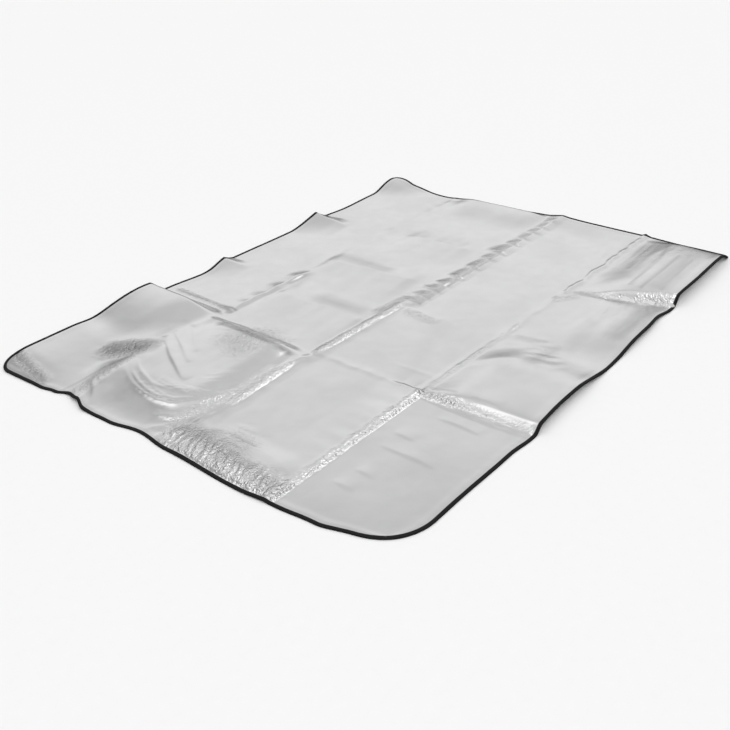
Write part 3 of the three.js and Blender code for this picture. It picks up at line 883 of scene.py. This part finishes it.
def foil_mat(foil, foam):
    """The laminated sheet: foil above, foam at its rim and below."""
    lines_x = grid_lines(HALF_LENGTH, GRID_ALONG)
    lines_y = grid_lines(HALF_WIDTH, GRID_ACROSS)
    straight_x, straight_y = np.meshgrid(lines_x, lines_y)
    x, y = drawn_in(*rounded(straight_x, straight_y))
    edge = np.minimum(HALF_LENGTH - np.abs(straight_x), HALF_WIDTH - np.abs(straight_y))
    under = relief(x, y) + edge_lift(edge)
    inside = ease_down(1 - (edge - TAPE_COVER) / FADE_IN_RUN)
    folds = (wrinkles(x, y) + WRINKLE_BASE) * inside
    top = under + SHEET_THICK + np.maximum(folds, 0) + puckers(straight_x, straight_y) * inside

    top_points = np.stack([x, y, top], -1)
    under_points = np.stack([x, y, under], -1)[::UNDERSIDE_STEP, ::UNDERSIDE_STEP]
    first_under = top.size
    faces = grid_faces(0, *top.shape, True)
    top_faces = len(faces)
    faces += grid_faces(first_under, *under_points.shape[:2], False)
    top_border = grid_border(0, *top.shape)
    under_border = grid_border(first_under, *under_points.shape[:2])
    for cell, ends in enumerate(zip(under_border, under_border[1:])):
        start = cell * UNDERSIDE_STEP
        faces.append((*ends, *reversed(top_border[start:start + UNDERSIDE_STEP + 1])))

    vertices = np.concatenate([top_points.reshape(-1, 3), under_points.reshape(-1, 3)])
    slots = [0] * top_faces + [1] * (len(faces) - top_faces)
    below = np.zeros(len(vertices) - first_under)
    attributes = {
        "crinkle": np.concatenate([(crinkles(x, y) * inside).ravel(), below]),
        # Painted shade for the film's colour, none on the underside
        "dull": np.concatenate([(painted_shade_amount(x, y) * inside).ravel(), below]),
    }
    return mesh_object("foil_mat", vertices, faces, [foil, foam], slots, attributes)


Walk = namedtuple("Walk", "rim_x rim_y out_x out_y along length")
WALK_STEP = 5.0
LEAST_CORNER_STEPS = 6


def on_arc(corner, angle):
    return corner.x + corner.radius * math.cos(angle), corner.y + corner.radius * math.sin(angle)


def edge_walk():
    """Points once round the sheet's rim, against the clock, each with its way out and distance along."""
    corners = sheet_corners()
    points = []
    for number, corner in enumerate(corners):
        start = math.pi + number * math.pi / 2
        end = start + math.pi / 2
        steps = max(LEAST_CORNER_STEPS, round(corner.radius * math.pi / 2 / WALK_STEP))
        for step in range(steps):
            angle = start + step / steps * math.pi / 2
            points.append((*on_arc(corner, angle), angle))
        from_x, from_y = on_arc(corner, end)
        to_x, to_y = on_arc(corners[(number + 1) % len(corners)], end)
        steps = round(math.hypot(to_x - from_x, to_y - from_y) / WALK_STEP)
        for step in range(steps):
            share = step / steps
            points.append((from_x + (to_x - from_x) * share, from_y + (to_y - from_y) * share, end))
    rim_x, rim_y, angles = (np.array(column) for column in zip(*points))
    plan_x, plan_y = drawn_in(rim_x, rim_y)
    steps = np.hypot(np.roll(plan_x, -1) - plan_x, np.roll(plan_y, -1) - plan_y)
    along = np.concatenate([[0], np.cumsum(steps)[:-1]])
    return Walk(rim_x, rim_y, np.cos(angles), np.sin(angles), along, steps.sum())


def beside_rim(walk, inset):
    """Plan point and the underside's height at a distance inside the rim, at each place of the walk."""
    held = np.maximum(inset, 0)
    x, y = drawn_in(walk.rim_x - walk.out_x * held, walk.rim_y - walk.out_y * held)
    past = np.maximum(-inset, 0)
    return x + walk.out_x * past, y + walk.out_y * past, relief(x, y)


# The tape's folded section, from the end of its lower leaf round to the end of its upper one, and back
# inside: inset from the sheet's rim, height over the lower leaf's underside, and how far gathers move it
TapePoint = namedtuple("TapePoint", "inset height gather")
TAPE_SECTION = [
    TapePoint(TAPE_COVER - 0.1, 0.10, 0.0),
    TapePoint(TAPE_COVER - 2.4, 0.02, 0.0),
    TapePoint(4.0, 0.0, 0.0),
    TapePoint(0.4, 0.0, 0.0),
    TapePoint(-0.55, 0.45, 0.2),
    TapePoint(-0.95, 1.4, 0.5),
    TapePoint(-0.95, 2.9, 0.7),
    TapePoint(-0.55, 3.95, 0.8),
    TapePoint(0.6, 4.5, 1.0),
    TapePoint(3.0, 4.62, 1.0),
    TapePoint(TAPE_COVER - 4.4, 4.55, 0.9),
    TapePoint(TAPE_COVER - 2.6, 4.22, 0.2),
    TapePoint(TAPE_COVER - 1.3, 4.5, 0.7),
    TapePoint(TAPE_COVER, 4.35, 0.9),
    TapePoint(TAPE_COVER + 0.1, 3.85, 0.4),
    TapePoint(5.0, 3.82, 0.2),
    TapePoint(-0.3, 3.8, 0.0),
    TapePoint(-0.35, 0.65, 0.0),
    TapePoint(5.0, 0.62, 0.0),
    TapePoint(TAPE_COVER - 0.2, 0.62, 0.0),
]
TAPE_LAP_AT = (-23, -750)
TAPE_LAP_LENGTH = 26
TAPE_LAP_FADE = 3
TAPE_LAP_THICK = 0.7
TAPE_LAP_WIDER = 0.5
# Height and spacing of the tape's gathers, and how far its two edges sway, over what length, and from where
GATHER_HIGH = 0.45
GATHER_SPACING = 9
TAPE_SWAY = 0.5
TAPE_SWAY_LENGTH = 55
SWAYS_FROM = TAPE_COVER - 2


def edge_tape(walk, tape):
    """The folded tape, with its gathers and with its two ends lapped on the near edge."""
    from_lap = np.hypot(walk.rim_x - TAPE_LAP_AT[0], walk.rim_y - TAPE_LAP_AT[1])
    lap = ease_down((from_lap - TAPE_LAP_LENGTH / 2) / TAPE_LAP_FADE)
    gather = creased_noise(walk.along / GATHER_SPACING, 0, noise_seed("tape_gather")) - 0.5
    sway = TAPE_SWAY * gradient_noise(walk.along / TAPE_SWAY_LENGTH, 3, noise_seed("tape_sway"))
    columns = []
    for point in TAPE_SECTION:
        inset = point.inset + (sway if point.inset > SWAYS_FROM else 0)
        x, y, height = beside_rim(walk, inset)
        lifted = height + (point.height + point.gather * (gather * GATHER_HIGH + lap * TAPE_LAP_THICK))
        wider = lap * TAPE_LAP_WIDER
        columns.append(np.stack([x + walk.out_x * wider, y + walk.out_y * wider, lifted], -1))
    vertices = np.stack(columns, 1).reshape(-1, 3)
    around = len(TAPE_SECTION)
    stations = len(walk.along)
    faces = []
    for k in range(stations):
        here = k * around
        there = ((k + 1) % stations) * around
        for s in range(around):
            after = (s + 1) % around
            faces.append((here + s, there + s, there + after, here + after))
    attributes = {"tape_along": np.repeat(walk.along, around)}
    return mesh_object("edge_tape", vertices, faces, [tape], attributes=attributes)


STITCH_PITCH = 4.2
STITCH_LENGTH = 3.2
STITCH_INSET = TAPE_COVER - 2.6
STITCH_SIDES = 6
THREAD_RADIUS = 0.28
# Rings along a stitch, and the two rows: height over the lower leaf's underside, and each ring's over that
STITCH_RINGS = np.array([0.0, 0.25, 0.75, 1.0])
StitchRow = namedtuple("StitchRow", "height rises")
STITCH_ROWS = [
    StitchRow(4.22, (-0.25, 0.12, 0.12, -0.25)),
    StitchRow(0.04, (THREAD_RADIUS,) * 4),
]


def tape_stitches(walk, thread):
    """Lockstitches through the tape, one row above and one below."""
    count = round(walk.length / STITCH_PITCH)
    x, y, height = beside_rim(walk, STITCH_INSET)
    laid = np.append(walk.along, walk.length)
    vertices = []
    faces = []
    for row in STITCH_ROWS:
        columns = [np.append(values, values[0]) for values in (x, y, height + row.height)]
        for start in np.arange(count) * walk.length / count:
            at = start + STITCH_RINGS * STITCH_LENGTH
            centre = np.stack([np.interp(at, laid, values) for values in columns], -1)
            ahead = centre[-1] - centre[0]
            ahead /= np.linalg.norm(ahead)
            side = np.cross([0.0, 0.0, 1.0], ahead)
            side /= np.linalg.norm(side)
            over = np.cross(ahead, side)
            first = len(vertices)
            for middle, rise in zip(centre, row.rises):
                for s in range(STITCH_SIDES):
                    angle = 2 * math.pi * s / STITCH_SIDES
                    ring = side * math.cos(angle) + over * math.sin(angle)
                    vertices.append(middle + ring * THREAD_RADIUS + np.array([0, 0, rise]))
            last = first + (len(STITCH_RINGS) - 1) * STITCH_SIDES
            for here in range(first, last, STITCH_SIDES):
                for s in range(STITCH_SIDES):
                    a = here + s
                    b = here + (s + 1) % STITCH_SIDES
                    faces.append((a, b, b + STITCH_SIDES, a + STITCH_SIDES))
            faces.append(tuple(first + s for s in reversed(range(STITCH_SIDES))))
            faces.append(tuple(last + s for s in range(STITCH_SIDES)))
    return mesh_object("tape_stitches", vertices, faces, [thread])


# The photograph's camera: its place in metres, and its angles in degrees
CAMERA_PLACE = (-2.1360, -1.6570, 1.3207)
CAMERA_YAW = 49.981
CAMERA_PITCH = 29.6205
CAMERA_ROLL = -2.7667
FOCAL_PIXELS = 919.5
IMAGE_PIXELS = 730
SENSOR_MM = 36.0


def studio_camera():
    """The camera at the photograph's place and angle."""
    yaw, pitch, roll = (math.radians(angle) for angle in (CAMERA_YAW, CAMERA_PITCH, CAMERA_ROLL))
    ahead = np.array([math.sin(yaw) * math.cos(pitch), math.cos(yaw) * math.cos(pitch), -math.sin(pitch)])
    level = np.array([math.cos(yaw), -math.sin(yaw), 0.0])
    above = np.cross(level, ahead)
    right = level * math.cos(roll) + above * math.sin(roll)
    up = above * math.cos(roll) - level * math.sin(roll)
    data = bpy.data.cameras.new("camera")
    data.sensor_width = SENSOR_MM
    data.sensor_fit = "HORIZONTAL"
    data.lens = FOCAL_PIXELS / IMAGE_PIXELS * SENSOR_MM
    camera = bpy.data.objects.new("camera", data)
    turn = Matrix([[right[i], up[i], -ahead[i]] for i in range(3)]).to_4x4()
    camera.matrix_world = Matrix.Translation(CAMERA_PLACE) @ turn
    bpy.context.scene.collection.objects.link(camera)
    bpy.context.scene.camera = camera


# Two bright walls, before and behind the camera: their bearing, how far to each side of it they are full and
# end, the level at the sides, and the heights between which the sides grow as bright, in degrees
WALL_AZIMUTH = 50.0
WALL_FULL = 12
WALL_END = 42
SIDE_LEVEL = 0.5
EVEN_START = 40
EVEN_FULL = 60
# Brightness of the studio by degrees over the horizon
STUDIO_BANDS = [
    (0, 0.33), (7, 0.36), (17, 0.86), (24, 0.84), (30, 0.77), (37, 0.68), (43, 0.60), (52, 0.62), (62, 0.72),
    (90, 0.78),
]
# Soft round lights: the way towards each, how wide its full part and all of it are, and how much it adds
SoftLight = namedtuple("SoftLight", "x y z full end level")
SOFT_LIGHTS = [
    SoftLight(0.700, -0.098, 0.707, 8, 22, 0.9),
    SoftLight(0.0, -0.42, 0.907, 12, 24, 1.2),
    SoftLight(-0.1, 0.57, 0.815, 8, 20, 0.6),
]
# What the camera sees past the floor, and the broad light from overhead
BACKDROP_LEVEL = 0.93
SKY_LIGHT_STRENGTH = 0.84
SKY_LIGHT_WIDTH = 120


def cosine(degrees):
    return math.cos(math.radians(degrees))


def sine(degrees):
    return math.sin(math.radians(degrees))


def studio_light():
    """Two bright walls, darker sides and horizon, and soft lights on the right and overhead."""
    world = bpy.data.worlds.new("studio")
    world.use_nodes = True
    bpy.context.scene.world = world
    tree = world.node_tree
    shade = Shade(tree, None)
    direction = shade.node("ShaderNodeTexCoord", output="Generated")
    parts = shade.node("ShaderNodeSeparateXYZ", inputs={"Vector": direction})
    x, y, z = (parts.output(axis) for axis in "XYZ")
    level = shade.math("SQRT", x * x + y * y + 1e-6)
    facing = shade.math("ABSOLUTE", (x * sine(WALL_AZIMUTH) + y * cosine(WALL_AZIMUTH)) / level)
    wall = facing.smooth(cosine(WALL_END), cosine(WALL_FULL), SIDE_LEVEL, 1.0)
    even = z.smooth(sine(EVEN_START), sine(EVEN_FULL))
    stops = [(sine(angle), brightness) for angle, brightness in STUDIO_BANDS]
    bands = shade.node("ShaderNodeValToRGB", {"stops": stops}, {"Fac": z})
    strength = bands * (wall + (1 - wall) * even)
    for light in SOFT_LIGHTS:
        turned = x * light.x + y * light.y + z * light.z
        strength = strength + turned.smooth(cosine(light.end), cosine(light.full), 0.0, light.level)
    seen = shade.node("ShaderNodeLightPath", output="Is Camera Ray")
    background = tree.nodes["Background"]
    background.inputs["Color"].default_value = (1, 1, 1, 1)
    link(strength * (1 - seen) + seen * BACKDROP_LEVEL, background, "Strength")

    soft = bpy.data.lights.new("soft_light", "SUN")
    soft.energy = SKY_LIGHT_STRENGTH
    soft.angle = math.radians(SKY_LIGHT_WIDTH)
    lamp = bpy.data.objects.new("soft_light", soft)
    lamp.visible_glossy = False
    bpy.context.scene.collection.objects.link(lamp)


FLOOR_HALF = 60000


def floor():
    """The pale floor, with a soft grain in it."""
    material, shade, surface = new_material("pale_floor")
    link(object_place(shade).noise(40.0).mix(*FLOOR_TONES), surface, "Base Color")
    surface.inputs["Roughness"].default_value = 0.9
    surface.inputs["Specular IOR Level"].default_value = 0.1
    corners = [(x * FLOOR_HALF, y * FLOOR_HALF, 0) for x, y in ((-1, -1), (1, -1), (1, 1), (-1, 1))]
    ground = mesh_object("floor", corners, [(0, 1, 2, 3)], [material])
    ground.visible_glossy = False


studio_camera()
studio_light()
floor()
bpy.context.scene.view_settings.view_transform = "Standard"

mat = foil_mat(foil_material(), foam_material())
walk = edge_walk()
binding = edge_tape(walk, tape_material())
stitching = tape_stitches(walk, thread_material())

for piece, finish in ((mat, "foil"), (binding, "binding_tape"), (stitching, "binding_tape")):
    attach(piece, "root")
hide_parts("foil_sheet")
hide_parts("edge_binding")

bpy.context.view_layer.update()
